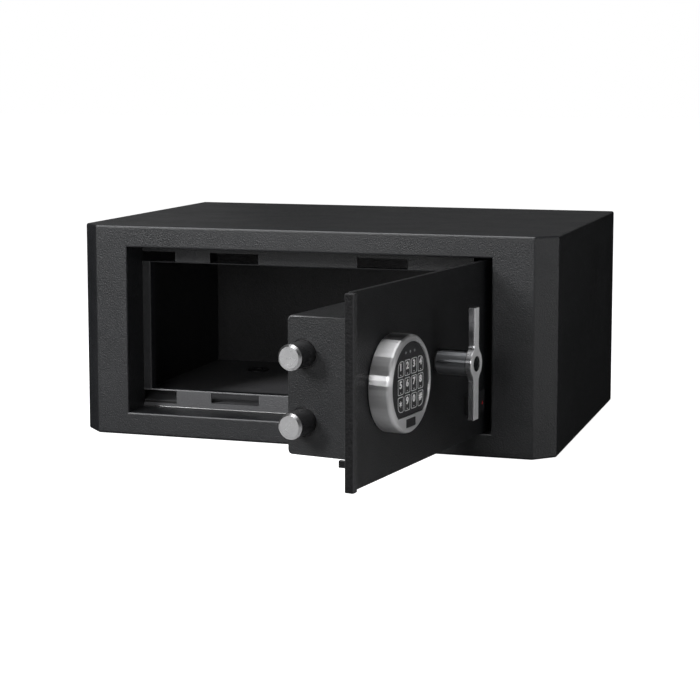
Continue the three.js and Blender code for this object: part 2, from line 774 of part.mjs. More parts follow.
// Keypad
function keypadGasket() {
  const disc = rodY(gasketRadius, keypadX, plateOut - gap - gasketThickness, plateOut - gap, keypadHeight);
  return cut(disc, [rodY(cableHole, keypadX, plateOut - 5, plateOut + 1, keypadHeight)]);
}

// A circle with a flat foot
function footedCircle(radius, chord) {
  const foot = Math.asin(-chord / radius);
  const outline = new THREE.Shape();
  outline.absarc(0, 0, radius, foot, Math.PI - foot, false);
  outline.closePath();
  return outline;
}

function keypadRing() {
  const rim = [0, 1, 2, 3].map((i) => {
    const turn = (Math.PI / 2) * (i / 3);
    return [keypadRadius - keypadRound * (1 - Math.cos(turn)), keypadProud - keypadRound * (1 - Math.sin(turn))];
  });
  const housing = turned([
    [0, gap], [keypadRadius - 0.6, gap], [keypadRadius, gap + 0.6], ...rim, [0, keypadProud],
  ], '-y', keypadX, plateOut, keypadHeight, 64);
  const seatDepth = gap * 2 + gasketThickness;
  const gasketSeat = rodY(gasketRadius + gap, keypadX, plateOut - seatDepth, plateOut, keypadHeight);
  const pocket = slab(
    footedCircle(panelRadius, panelChord), keypadX, keypadHeight, plateOut - pocketFloor, plateOut - keypadProud - 1, 0, 36,
  );
  const { width, height, drop, depth } = badgeRecess;
  const badge = slab(
    rectangle(width, height, 0.8), keypadX, keypadHeight - drop,
    plateOut - keypadProud + depth, plateOut - keypadProud - 1,
  );
  const cable = rodY(cableHole, keypadX, plateOut - keypadProud, plateOut, keypadHeight);
  return cut(housing, [gasketSeat, pocket, badge, cable]);
}

function keypadBoard() {
  const board = slab(
    footedCircle(panelRadius - gap, panelChord - gap), keypadX, keypadHeight,
    boardFront + boardSheet, boardFront, 0, 32,
  );
  return board;
}

const keyRows = [
  ['key_1', 'key_2', 'key_3', 'key_4'],
  ['key_5', 'key_6', 'key_7', 'key_8'],
  ['key_star', 'key_9', 'key_0', 'key_hash'],
];

// Place and outline of one key: the outer corners of the corner keys are rounder
function keyPlace(row, column) {
  return { x: (column - 1.5) * keyPitchX, z: (1 - row) * keyPitchZ };
}

function keyOutline(row, column, grow) {
  const w = keyWidth / 2 + grow;
  const h = keyHeight / 2 + grow;
  const outer = (top, right) => ((top ? row === 0 : row === 2) && (right ? column === 3 : column === 0));
  const radius = (top, right) => (outer(top, right) ? keyOuterRadius : keyRadius) + grow;
  return [
    [-w, -h, radius(false, false)], [w, -h, radius(false, true)],
    [w, h, radius(true, true)], [-w, h, radius(true, false)],
  ];
}

function keypadPanel() {
  const rim = footedCircle(panelRadius - gap, panelChord - gap);
  const back = plateOut - panelFront + panelSheet;
  const panel = slab(rim, keypadX, keypadHeight, back, plateOut - panelFront, 0, 36);
  const windows = keyRows.flatMap((names, row) => names.map((name, column) => {
    const { x, z } = keyPlace(row, column);
    const outline = roundedOutline(keyOutline(row, column, gap));
    return slab(outline, keypadX + x, keypadHeight + z, back + 1, plateOut - panelFront - 1, 0, keyCurve);
  }));
  const lights = [-1, 0, 1].map((i) => rodY(
    lightRadius + gap, keypadX + i * lightPitch, plateOut - panelFront - 1, back + 1, keypadHeight + lightRow, 14,
  ));
  return cut(panel, [...windows, ...lights]);
}

function key(row, column) {
  const { x, z } = keyPlace(row, column);
  const front = plateOut - panelFront - keyProud;
  const outline = roundedOutline(keyOutline(row, column, 0));
  return slab(outline, keypadX + x, keypadHeight + z, front + keyLength, front, 0, keyCurve);
}

function statusLight(i) {
  return rodY(
    lightRadius, keypadX + i * lightPitch, plateOut - panelFront, plateOut - panelFront + panelSheet + 2,
    keypadHeight + lightRow, 14,
  );
}

// Cover over the mechanical override lock, with a small round window near its hinge end
const coverRight = plateRight - coverPlate.fromHingeEnd;
const windowX = coverRight - coverWindow.fromEnd;
const windowZ = coverPlate.bottom + coverWindow.fromBottom;
const coverFront = plateOut - gap - coverPlate.thickness;

function overrideCover() {
  const { width, bottom, height, radius } = coverPlate;
  const x = coverRight - width / 2;
  const cover = slab(rectangle(width, height, radius), x, bottom + height / 2, plateOut - gap, coverFront);
  const hole = rodY(coverWindow.radius + gap, windowX, coverFront - 1, coverFront + coverWindow.depth, windowZ, 20);
  return cut(cover, [hole]);
}

function overrideWindow() {
  return rodY(coverWindow.radius, windowX, coverFront + gap, coverFront + coverWindow.depth - gap, windowZ, 20);
}

// Finishes
const finish = (color, roughness, metalness) => ({ color, roughness, metalness });
const finishes = {
  powder: finish(0x1b1c1e, 0.62, 0.1),
  powderInside: finish(0x131315, 0.6, 0.1),
  board: finish(0xb9b4a8, 0.95, 0),
  zinc: finish(0xa9abad, 0.4, 0.9),
  satin: finish(0xb4b5b7, 0.32, 1),
  darkSteel: finish(0x55575b, 0.35, 1),
  plastic: finish(0x121214, 0.45, 0),
  rubber: finish(0x0d0d0e, 0.8, 0),
  circuit: finish(0x1f4a2c, 0.6, 0),
  lamp: finish(0x8a8f93, 0.3, 0),
  red: finish(0x8c1513, 0.35, 0),
};

const safe = new THREE.Group();
const doorHinge = new THREE.Group();
doorHinge.position.set(pivotX, pivotY, 0);
doorHinge.rotation.z = openAngle;
const door = new THREE.Group();
door.position.set(-pivotX, -pivotY, 0);
doorHinge.add(door);
safe.add(doorHinge);

function place(group, name, geometry, look) {
  const mesh = new THREE.Mesh(geometry, new THREE.MeshStandardMaterial(finishes[look]));
  mesh.name = name;
  group.add(mesh);
}

place(safe, 'outer_shell', outerShell(), 'powder');
place(safe, 'back_panel', backPanel(), 'powder');
place(safe, 'insulation_fill', insulationFill(), 'board');
place(safe, 'inner_liner', innerLiner(), 'powderInside');
place(safe, 'jamb_frame', jambFrame(), 'powder');
place(safe, 'anchor_sleeve', anchorSleeve(), 'plastic');
place(safe, 'lower_hinge_block', hingeBlock(linerBottom + gap), 'powderInside');
place(safe, 'upper_hinge_block', hingeBlock(upperBlockBottom), 'powderInside');
place(safe, 'lower_hinge_pin', lowerHingePin(), 'zinc');
place(safe, 'upper_hinge_pin', upperHingePin(), 'zinc');
place(safe, 'hinge_thrust_washer', thrustWasher(), 'zinc');

place(door, 'door_plate', doorPlate(), 'powder');
place(door, 'door_edge_bar', doorEdgeBar(), 'powder');
place(door, 'door_edge_lug', doorLug(), 'powder');
place(door, 'lower_hinge_arm', hingeArmPiece(lowerArmBottom, true), 'powder');
place(door, 'upper_hinge_arm', hingeArmPiece(upperArmBottom, false), 'powder');
place(door, 'door_fireboard', doorFireboard(), 'board');
place(door, 'bolt_case', boltCase(), 'powder');
place(door, 'lower_bolt_bush', boltBush(boltHeights[0]), 'plastic');
place(door, 'upper_bolt_bush', boltBush(boltHeights[1]), 'plastic');
place(door, 'rack_guide', rackGuide(), 'plastic');
place(door, 'spindle_bush', spindleBush(), 'plastic');
place(door, 'rear_spindle_bush', rearSpindleBush(), 'zinc');
place(door, 'lock_body', lockBody(), 'zinc');
place(door, 'lock_cable', lockCable(), 'rubber');
place(door, 'lock_latch', lockLatch(), 'darkSteel');
place(door, 'keypad_gasket', keypadGasket(), 'rubber');
place(door, 'keypad_ring', keypadRing(), 'satin');
place(door, 'keypad_board', keypadBoard(), 'circuit');
place(door, 'keypad_panel', keypadPanel(), 'plastic');
place(door, 'status_light_left', statusLight(-1), 'lamp');
place(door, 'status_light_middle', statusLight(0), 'lamp');
place(door, 'status_light_right', statusLight(1), 'lamp');
place(door, 'override_cover', overrideCover(), 'plastic');
place(door, 'override_window', overrideWindow(), 'red');

place(door, 'lower_bolt', liveBolt(boltHeights[0]), 'satin');
place(door, 'upper_bolt', liveBolt(boltHeights[1]), 'satin');
place(door, 'bolt_bar', boltBar(), 'zinc');
place(door, 'bolt_rack', boltRack(), 'zinc');

place(door, 'handle_grip', handleGrip(), 'satin');
place(door, 'handle_hub_cap', hubCap(), 'plastic');
place(door, 'handle_stem', handleStem(), 'darkSteel');
place(door, 'handle_spindle', handleSpindle(), 'zinc');
place(door, 'drive_pinion', drivePinion(), 'zinc');

keyRows.forEach((names, row) => names.forEach((name, column) => {
  place(door, name, key(row, column), 'plastic');
}));

export default safe;
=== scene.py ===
import math

import bmesh
import bpy
from mathutils import Matrix, Vector


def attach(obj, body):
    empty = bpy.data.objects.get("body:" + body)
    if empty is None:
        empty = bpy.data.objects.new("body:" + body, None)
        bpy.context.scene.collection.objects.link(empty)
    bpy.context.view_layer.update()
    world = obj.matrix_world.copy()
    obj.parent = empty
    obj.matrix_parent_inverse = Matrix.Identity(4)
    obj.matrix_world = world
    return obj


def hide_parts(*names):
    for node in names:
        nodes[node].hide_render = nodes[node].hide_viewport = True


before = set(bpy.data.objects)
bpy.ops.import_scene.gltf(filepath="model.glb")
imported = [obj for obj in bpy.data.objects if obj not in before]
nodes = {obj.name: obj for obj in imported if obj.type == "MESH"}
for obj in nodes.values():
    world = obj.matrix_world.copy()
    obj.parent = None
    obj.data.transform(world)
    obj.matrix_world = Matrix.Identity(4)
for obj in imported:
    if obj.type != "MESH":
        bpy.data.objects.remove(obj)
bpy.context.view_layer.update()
scene = bpy.context.scene

# Camera as solved from the photograph: focal length in its pixels, sensor in millimetres, angles in degrees
PICTURE_SIZE = 700
FOCAL_LENGTH = 1806
SENSOR_WIDTH = 36
CAMERA_PLACE = (0.529, -1.717, 0.343)
CAMERA_TILT = 6.51
CAMERA_TURN = 17.38
CAMERA_SHIFT = (-0.0006, -0.10114)

# Door: its angle at rest, hinge axis, and the closed plate's outer face and free end, in metres
DOOR_ANGLE = math.radians(80.4)
HINGE = Vector((0.1445, -0.0962, 0))
PLATE_FACE = -0.128
PLATE_END = -0.179
DOOR_TURN = Matrix.Rotation(DOOR_ANGLE, 4, "Z")
CLOSED_TO_OPEN = Matrix.Translation(HINGE) @ DOOR_TURN @ Matrix.Translation(-HINGE)

# Directions: out of the open door, along it to its free end, ahead of the body, and half ahead and half up
DOOR_OUT = (math.sin(DOOR_ANGLE), -math.cos(DOOR_ANGLE), 0)
TO_FREE_END = (-math.cos(DOOR_ANGLE), -math.sin(DOOR_ANGLE), 0)
AHEAD = (0, -1, 0)
AHEAD_AND_UP = (0, -0.7071, 0.7071)

# Bolt case, door closed: end face, plane just behind the plate, foot of the upper fold, and its added bend
CASE_END = -0.159
CASE_BEHIND_PLATE = -0.1236
CASE_UPPER_FOLD = 0.1505
CASE_END_BEND = 0.0011

# Lower ledge of the opening, and the bend at its foot
LEDGE_FACE = -0.1235
LEDGE_TOP = 0.0388
LEDGE_BEND = 0.0011
LEDGE_ENDS = (-0.1799, 0.1478)
OPENING_FLOOR = 0.0213

# Handle and keypad: places along the closed door from its free end, and heights above the floor
HANDLE_ALONG = 0.167
HANDLE_Z = 0.1015
KEYPAD_ALONG = 0.0717
KEYPAD_X = PLATE_END + KEYPAD_ALONG
KEYPAD_Z = 0.098
KEYS = [["1", "2", "3", "4"], ["5", "6", "7", "8"], ["*", "9", "0", "#"]]
KEY_BODY = {"*": "key_star", "#": "key_hash"}

# Keys: how far their fronts stand out from the plate, their spacing, half sizes and corner radii
KEY_FRONT = 0.0185
KEY_PITCH_ACROSS = 0.0123
KEY_PITCH_UP = 0.0141
KEY_HALF_WIDTH = 0.0052
KEY_HALF_HEIGHT = 0.00645
KEY_CORNER = 0.0018
KEYS_CORNER = 0.0066
LEAST_CORNER = 0.0004

# Print on the keys: a line between two insets from the key's edge, a symbol and a small mark
PRINT_THICK = 0.00012
PRINT_GAP = 0.00002
LINE_OUTSIDE = 0.0002
LINE_INSIDE = 0.00068
SYMBOL_SIZE = 0.0078
SYMBOL_RISE = 0.0015
MARK_SIZE = 0.0036
MARK_RISE = -0.0042
STAR_REACH = 0.0024
STAR_HALF_WIDTH = 0.00036
STAR_RISE = 0.0006
LETTER_BOLDER = 0.042
LETTER_WIDER = 1.18

# Inlay in the recess under the keys
BADGE_HALF_WIDTH = 0.0088
BADGE_HALF_HEIGHT = 0.0034
BADGE_CORNER = 0.0007
BADGE_THICK = 0.0005
BADGE_TAPER = (0.985, 0.96)
BADGE_OUT = 0.01842
BADGE_DROP = 0.0309

# Depth of the finest marks in steel
STEEL_MARKS = 0.00004

# Floor sheets lie just under the part's foot, the wide one lowest
WIDE_FLOOR_HEIGHT = -0.0006
NEAR_FLOOR_HEIGHT = -0.0004

# Lights: name, watts, width, height, place and target
LIGHTS = [
    ("key", 29, 0.42, 0.62, (-0.9, -1.6, 0.95), (0.1, -0.2, 0.1)),
    ("over_mid", 7.2, 1.2, 0.6, (0.0, -0.3, 1.5), (0.05, -0.3, 0.1)),
    ("over_front", 4.6, 1.2, 1.1, (-0.1, -1.15, 1.4), (0.05, -0.3, 0.1)),
    ("right_card", 5, 1.0, 0.8, (1.3, -0.5, 0.1), (0.2, -0.5, 0.1)),
    ("right_back_card", 0.16, 0.7, 0.6, (1.1, 0.3, 0.2), (0.13, -0.35, 0.1)),
    ("cavity_fill", 2.6, 0.3, 0.3, (0.05, -1.3, 0.35), (-0.05, 0, 0.1)),
    ("back_left", 0.9, 1.2, 0.8, (-1.4, 1.8, 0.9), (0, 0, 0.1)),
    ("back_right", 0.35, 0.6, 0.5, (0.75, 1.9, 1.05), (0.1, -0.3, 0.12)),
    ("back", 0.68, 1.6, 0.8, (0.0, 2.2, 0.9), (0, 0, 0.1)),
]


def door_place(along, out, height):
    """A point on the door: from the plate's free end, out from its face and above the floor."""
    return CLOSED_TO_OPEN @ Vector((PLATE_END + along, PLATE_FACE - out, height))


def key_name(symbol):
    return KEY_BODY.get(symbol, f"key_{symbol}")


# Camera

def make_camera():
    data = bpy.data.cameras.new("camera")
    camera = bpy.data.objects.new("camera", data)
    scene.collection.objects.link(camera)
    camera.location = CAMERA_PLACE
    camera.rotation_euler = (math.radians(90 - CAMERA_TILT), 0, math.radians(CAMERA_TURN))
    data.sensor_width = SENSOR_WIDTH
    data.lens = FOCAL_LENGTH / PICTURE_SIZE * SENSOR_WIDTH
    data.shift_x, data.shift_y = CAMERA_SHIFT
    data.clip_start = 0.05
    data.clip_end = 60
    scene.camera = camera


# Materials

def darker(color, share):
    return tuple(c * share for c in color)


class Nodes:
    """A material's node tree with short calls for the nodes it uses."""

    def __init__(self, name):
        self.mat = bpy.data.materials.new(name)
        self.mat.use_nodes = True
        self.tree = self.mat.node_tree
        self.tree.nodes.clear()
        out = self.add("ShaderNodeOutputMaterial")
        self.shader = self.add("ShaderNodeBsdfPrincipled")
        self.link(self.shader.outputs[0], out.inputs["Surface"])
        self.coords = self.add("ShaderNodeTexCoord").outputs["Object"]

    def add(self, kind, **settings):
        node = self.tree.nodes.new(kind)
        for key, value in settings.items():
            setattr(node, key, value)
        return node

    def link(self, a, b):
        self.tree.links.new(a, b)

    def set(self, **values):
        for key, value in values.items():
            self.shader.inputs[key.replace("_", " ")].default_value = value

    def noise(self, scale, detail=2.0, roughness=0.5, coords=None):
        node = self.add("ShaderNodeTexNoise")
        self.link(coords or self.coords, node.inputs["Vector"])
        node.inputs["Scale"].default_value = scale
        node.inputs["Detail"].default_value = detail
        node.inputs["Roughness"].default_value = roughness
        return node.outputs["Fac"]

    def cells(self, scale):
        node = self.add("ShaderNodeTexVoronoi", feature="SMOOTH_F1")
        self.link(self.coords, node.inputs["Vector"])
        node.inputs["Scale"].default_value = scale
        return node.outputs["Distance"]

    def math(self, operation, *values):
        node = self.add("ShaderNodeMath", operation=operation)
        for i, value in enumerate(values):
            if isinstance(value, (int, float)):
                node.inputs[i].default_value = value
            else:
                self.link(value, node.inputs[i])
        return node.outputs[0]

    def remap(self, value, low, high, to_low, to_high):
        node = self.add("ShaderNodeMapRange")
        self.link(value, node.inputs["Value"])
        limits = {"From Min": low, "From Max": high, "To Min": to_low, "To Max": to_high}
        for name, limit in limits.items():
            node.inputs[name].default_value = limit
        return node.outputs[0]

    def vary(self, value, middle, half, low=0.3, high=0.7):
        """A number that follows a noise value up and down about its middle."""
        return self.remap(value, low, high, middle - half, middle + half)

    def ramp(self, value, stops):
        node = self.add("ShaderNodeValToRGB")
        self.link(value, node.inputs[0])
        elements = node.color_ramp.elements
        for element, (at, color) in zip(elements, stops):
            element.position = at
            element.color = (*color, 1)
        return node.outputs[0]

    def bump(self, height, strength, distance):
        node = self.add("ShaderNodeBump")
        self.link(height, node.inputs["Height"])
        node.inputs["Strength"].default_value = strength
        node.inputs["Distance"].default_value = distance
        self.link(node.outputs[0], self.shader.inputs["Normal"])

    def color(self, value):
        self.link(value, self.shader.inputs["Base Color"])

    def rough(self, value):
        self.link(value, self.shader.inputs["Roughness"])

    def stretched(self, x, y, z):
        node = self.add("ShaderNodeMapping")
        self.link(self.coords, node.inputs["Vector"])
        node.inputs["Scale"].default_value = (x, y, z)
        return node.outputs[0]

    def vector(self, operation, source, value):
        node = self.add("ShaderNodeVectorMath", operation=operation)
        self.link(source, node.inputs[0])
        node.inputs[1].default_value = value
        return node

    def facing(self, direction):
        """How far the piece's own surface faces a direction, from 1 to -1."""
        normal = self.add("ShaderNodeTexCoord").outputs["Normal"]
        return self.vector("DOT_PRODUCT", normal, direction).outputs["Value"]

    def tangent(self, vector):
        """Let gloss spread across a direction given in the piece's own space."""
        turned = self.add("ShaderNodeVectorTransform", vector_type="VECTOR")
        turned.convert_from = "OBJECT"
        turned.convert_to = "WORLD"
        self.link(vector, turned.inputs[0])
        self.link(turned.outputs[0], self.shader.inputs["Tangent"])

    def blend(self, amount, low, high):
        """A colour between two, which may be values or links."""
        node = self.add("ShaderNodeMix", data_type="RGBA")
        self.link(amount, node.inputs["Factor"])
        for socket, value in ((node.inputs[6], low), (node.inputs[7], high)):
            if isinstance(value, tuple):
                socket.default_value = (*value, 1)
            else:
                self.link(value, socket)
        return node.outputs[2]

    def from_axis(self, centre):
        """The way from a point on an axis to the place that is shaded."""
        return self.vector("SUBTRACT", self.coords, centre).outputs[0]

    def door_radius(self, centre):
        """Distance from an axis that runs out of the door's face, in metres."""
        turned = self.add("ShaderNodeVectorRotate", rotation_type="Z_AXIS")
        self.link(self.from_axis(centre), turned.inputs["Vector"])
        turned.inputs["Angle"].default_value = -DOOR_ANGLE
        flat = self.vector("MULTIPLY", turned.outputs[0], (1, 0, 1))
        length = self.add("ShaderNodeVectorMath", operation="LENGTH")
        self.link(flat.outputs[0], length.inputs[0])
        return length.outputs["Value"]


def painted_light_above(n, color, painted_lift):
    """The colour, made lighter on faces that look up, as painted light from above."""
    parts = n.add("ShaderNodeSeparateXYZ")
    n.link(n.add("ShaderNodeNewGeometry").outputs["True Normal"], parts.inputs[0])
    gain = n.add("ShaderNodeVectorMath", operation="SCALE")
    n.link(color, gain.inputs[0])
    n.link(n.remap(parts.outputs["Z"], 0.5, 0.9, 1.0, painted_lift), gain.inputs["Scale"])
    return gain.outputs[0]


def painted_ledge_light_mask(n, fine):
    """How much painted light falls on the front of the lower ledge, from 0 to 1, and nothing elsewhere."""
    place = n.add("ShaderNodeSeparateXYZ")
    n.link(n.coords, place.inputs[0])
    low = n.remap(place.outputs["Z"], LEDGE_TOP, LEDGE_TOP + 0.0003, 1.0, 0.0)
    deep = n.remap(place.outputs["Y"], LEDGE_FACE - 0.002, LEDGE_FACE - 0.0005, 0.0, 1.0)
    ahead = n.remap(n.facing(AHEAD), 0.6, 0.8, 0.0, 1.0)
    patchy = n.remap(fine, 0.3, 0.7, 0.6, 1.0)
    return n.math("MULTIPLY", n.math("MULTIPLY", low, deep), n.math("MULTIPLY", ahead, patchy))


def powder_coat(name, dark, light, roughness, specular, grain=560, depth=0.00026, strength=1.0,
                painted_lift=1.0, painted_bend_highlight=None, painted_ledge_light=None):
    """Fine leathery powder coat: small cells, with finer noise over them.

    Faces that look up are lighter by painted_lift, painted light from above. A painted highlight of the
    colour painted_bend_highlight lies along bends between front and top, and painted light of the colour
    painted_ledge_light on the front of the lower ledge.
    """
    n = Nodes(name)
    cells = n.cells(grain)
    fine = n.noise(grain * 1.6, 3, 0.65)
    patches = n.noise(24, 3, 0.55)
    shade = n.math("MULTIPLY_ADD", fine, 0.75, n.math("MULTIPLY", patches, 0.25))
    color = n.ramp(shade, [(0.34, dark), (0.66, light)])
    if painted_lift != 1.0:
        color = painted_light_above(n, color, painted_lift)
    # Painted highlight along bends between front and top.
    if painted_bend_highlight:
        color = n.blend(n.remap(n.facing(AHEAD_AND_UP), 0.88, 0.98, 0.0, 1.0), color, painted_bend_highlight)
    # Painted light on the front of the lower ledge.
    if painted_ledge_light:
        color = n.blend(painted_ledge_light_mask(n, fine), color, painted_ledge_light)
    n.color(color)
    n.rough(n.vary(patches, roughness, 0.04))
    height = n.math("ADD", n.math("MULTIPLY", cells, -0.6), n.math("MULTIPLY", fine, 0.8))
    n.bump(height, strength, depth)
    n.set(Specular_IOR_Level=specular)
    return n.mat


def body_coat(name, painted_bend_highlight, painted_ledge_light=None):
    """The coat on the outside of the body."""
    dark, light = (0.0068, 0.0072, 0.0083), (0.0164, 0.0173, 0.0196)
    return powder_coat(name, dark, light, roughness=0.42, specular=0.45, grain=760, strength=1.3,
                       painted_bend_highlight=painted_bend_highlight, painted_ledge_light=painted_ledge_light)


def smooth_coat(name, dark, light):
    """The coat where it is drawn thin and glossy round a bend."""
    return powder_coat(name, dark, light, roughness=0.3, specular=0.9, depth=0.0001, strength=0.4)


def edge_coat(name):
    """Coarser, duller coat on the plate's cut edge, smoother where it turns to the front, and paler there
    by painted light.
    """
    n = Nodes(name)
    cells = n.cells(460)
    fine = n.noise(800, 3, 0.65)
    cut = n.ramp(fine, [(0.34, (0.001, 0.001, 0.0012)), (0.66, (0.008, 0.008, 0.009))])
    # The cut is dark and coarse; the turn to the front is paler by painted light.
    amount = n.remap(n.facing(TO_FREE_END), 0.75, 0.98, 1.0, 0.0)
    n.color(n.blend(amount, cut, (0.045, 0.045, 0.047)))
    n.rough(n.remap(fine, 0.3, 0.7, 0.5, 0.58))
    n.bump(n.math("SUBTRACT", fine, cells), 1.0, 0.0004)
    n.set(Specular_IOR_Level=0.14)
    return n.mat


def moulded(name, color, roughness, specular, grain=900, strength=0.15):
    """Moulded, printed or cast matter with a faint grain."""
    n = Nodes(name)
    fine = n.noise(grain)
    broad = n.noise(60)
    n.color(n.ramp(broad, [(0.3, darker(color, 0.85)), (0.7, tuple(min(c * 1.15, 1) for c in color))]))
    n.rough(n.vary(broad, roughness, 0.04))
    n.bump(fine, strength, 0.00008)
    n.set(Specular_IOR_Level=specular)
    return n.mat


def mineral(name, color):
    return moulded(name, color, roughness=0.9, specular=0.2, grain=500, strength=0.6)


def printed(name, color):
    return moulded(name, color, roughness=0.5, specular=0.4, grain=3000, strength=0.1)


def plain_steel(name, color, roughness):
    """Plated or bare steel of the inner parts."""
    n = Nodes(name)
    streaks = n.noise(900, 4, 0.65)
    broad = n.noise(35)
    n.color(n.ramp(streaks, [(0.25, darker(color, 0.9)), (0.75, color)]))
    n.rough(n.vary(streaks, roughness, 0.06, 0.25, 0.75))
    n.bump(n.math("MULTIPLY_ADD", broad, 0.3, streaks), 0.25, STEEL_MARKS)
    n.set(Metallic=1.0)
    return n.mat


def bolt_steel(name, face, painted_shade_side, roughness):
    """Bright faced end of a bolt, with the surface round it made darker by painted shade."""
    n = Nodes(name)
    grain = n.noise(900, 4, 0.65)
    broad = n.noise(120, 3, 0.6)
    # The sides are darker by painted shade.
    color = n.blend(n.remap(n.facing(TO_FREE_END), 0.35, 0.6, 0.0, 1.0), painted_shade_side, face)
    n.color(n.blend(n.remap(broad, 0.3, 0.7, 0.0, 0.16), color, (0.1, 0.1, 0.1)))
    marks = n.math("MULTIPLY_ADD", grain, 0.6, n.math("MULTIPLY", broad, 0.4))
    n.rough(n.vary(marks, roughness, 0.06))
    n.bump(n.math("MULTIPLY_ADD", broad, 0.5, grain), 0.25, STEEL_MARKS)
    n.set(Metallic=1.0)
    return n.mat


def satin_bar(name, color, painted_shade_side, roughness, smooth):
    """Steel brushed along the front of an upright bar, so gloss spreads level, and smooth at its sides,
    which painted shade makes darker.
    """
    n = Nodes(name)
    streaks = n.noise(900, 4, 0.65, n.stretched(6, 6, 0.4))
    broad = n.noise(35)
    front = n.facing(DOOR_OUT)
    bright = n.ramp(streaks, [(0.25, darker(color, 0.92)), (0.75, color)])
    # The sides are darker by painted shade.
    n.color(n.blend(n.remap(front, 0.6, 0.95, 0.0, 1.0), painted_shade_side, bright))
    base = n.remap(front, 0.6, 0.95, smooth, roughness)
    n.rough(n.math("ADD", base, n.vary(streaks, 0, 0.03, 0.25, 0.75)))
    n.bump(n.math("MULTIPLY_ADD", broad, 0.3, streaks), 0.12, STEEL_MARKS)
    upright = n.add("ShaderNodeCombineXYZ")
    upright.inputs["Z"].default_value = 1
    n.tangent(upright.outputs[0])
    n.set(Metallic=1.0, Anisotropic=0.9, Anisotropic_Rotation=0.25)
    return n.mat


def turned_steel(name, color, roughness, front, centre, front_metal=1.0):
    """Steel turned round an axis out of the door: fine marks run round, and gloss spreads across them."""
    n = Nodes(name)
    rings = n.add("ShaderNodeTexNoise", noise_dimensions="1D")
    n.link(n.door_radius(centre), rings.inputs["W"])
    rings.inputs["Scale"].default_value = 5200
    rings.inputs["Detail"].default_value = 3
    grain = n.noise(1500, 2, 0.6)
    marks = n.math("MULTIPLY_ADD", grain, 0.6, n.math("MULTIPLY", rings.outputs["Fac"], 0.4))
    n.color(n.ramp(marks, [(0.3, darker(color, 0.92)), (0.7, color)]))
    ahead = n.facing(DOOR_OUT)
    base = n.remap(ahead, 0.6, 0.95, roughness, front)
    n.rough(n.math("ADD", base, n.vary(marks, 0, 0.03)))
    n.bump(marks, 0.08, STEEL_MARKS)
    n.tangent(n.vector("CROSS_PRODUCT", n.from_axis(centre), DOOR_OUT).outputs[0])
    n.set(Metallic=1.0, Anisotropic=1.0, Anisotropic_Rotation=0.25)
    if front_metal < 1:
        n.link(n.remap(ahead, 0.6, 0.95, 1.0, front_metal), n.shader.inputs["Metallic"])
    return n.mat


# The solids' materials

def dress(material, *names):
    for name in names:
        piece = nodes[name]
        piece.data.materials.clear()
        piece.data.materials.append(material)


def dress_coated():
    # Bends between front and top get a painted highlight; the jamb's lower ledge front gets painted light.
    dress(body_coat("black_powder_coat", painted_bend_highlight=(0.125, 0.127, 0.132)), "outer_shell", "back_panel")
    jamb_painted_light_coat = body_coat("black_powder_coat_jamb", painted_bend_highlight=(0.3, 0.303, 0.31), painted_ledge_light=(0.1, 0.101, 0.106))
    dress(jamb_painted_light_coat, "jamb_frame")
    # Faces that look up inside are lighter by painted light from above.
    inside = powder_coat("black_powder_coat_inside", (0.02, 0.02, 0.021), (0.036, 0.036, 0.038),
                         roughness=0.5, specular=0.35, painted_lift=3.4)
    dress(inside, "inner_liner", "lower_hinge_block", "upper_hinge_block")
    door = powder_coat("black_powder_coat_door", (0.0048, 0.0051, 0.0059), (0.0098, 0.0104, 0.0118),
                       roughness=0.44, specular=0.37, grain=860, strength=1.2)
    dress(door, "door_plate", "lower_hinge_arm", "upper_hinge_arm", "bolt_case")
    dress(edge_coat("black_powder_coat_edge"), "door_edge_lug", "door_edge_bar")


def dress_insulation():
    # The fill is near black as painted shade, so the slots it shows through look dark.
    dress(mineral("mineral_fill_painted_shade", (0.02, 0.0195, 0.019)), "insulation_fill")
    dress(mineral("mineral_board", (0.5, 0.47, 0.4)), "door_fireboard")


def dress_plastic():
    plastic = moulded("black_plastic", (0.012, 0.012, 0.013), roughness=0.42, specular=0.35)
    dress(plastic, "anchor_sleeve", "lower_bolt_bush", "upper_bolt_bush", "rack_guide", "spindle_bush",
          "override_cover")
    dress(moulded("dark_cap", (0.006, 0.008, 0.009), roughness=0.2, specular=0.5), "handle_hub_cap")
    dress(moulded("red_window", (0.45, 0.01, 0.013), roughness=0.3, specular=0.5), "override_window")


def dress_keypad():
    ring = turned_steel("turned_stainless", (0.66, 0.66, 0.67), roughness=0.33, front=0.4,
                        centre=door_place(KEYPAD_ALONG, 0, KEYPAD_Z), front_metal=0.6)
    dress(ring, "keypad_ring")
    membrane = moulded("keypad_membrane", (0.027, 0.027, 0.029), roughness=0.4, specular=0.4,
                       grain=2600, strength=0.35)
    dress(membrane, "keypad_panel", *[key_name(symbol) for row in KEYS for symbol in row])
    rubber = moulded("gasket_rubber", (0.008, 0.008, 0.008), roughness=0.7, specular=0.2,
                     grain=1200, strength=0.3)
    dress(rubber, "keypad_gasket", "lock_cable")
    dress(moulded("circuit_board", (0.02, 0.09, 0.04), roughness=0.5, specular=0.4), "keypad_board")
    lamp = moulded("status_lamp", (0.3, 0.31, 0.32), roughness=0.25, specular=0.5)
    dress(lamp, "status_light_left", "status_light_middle", "status_light_right")


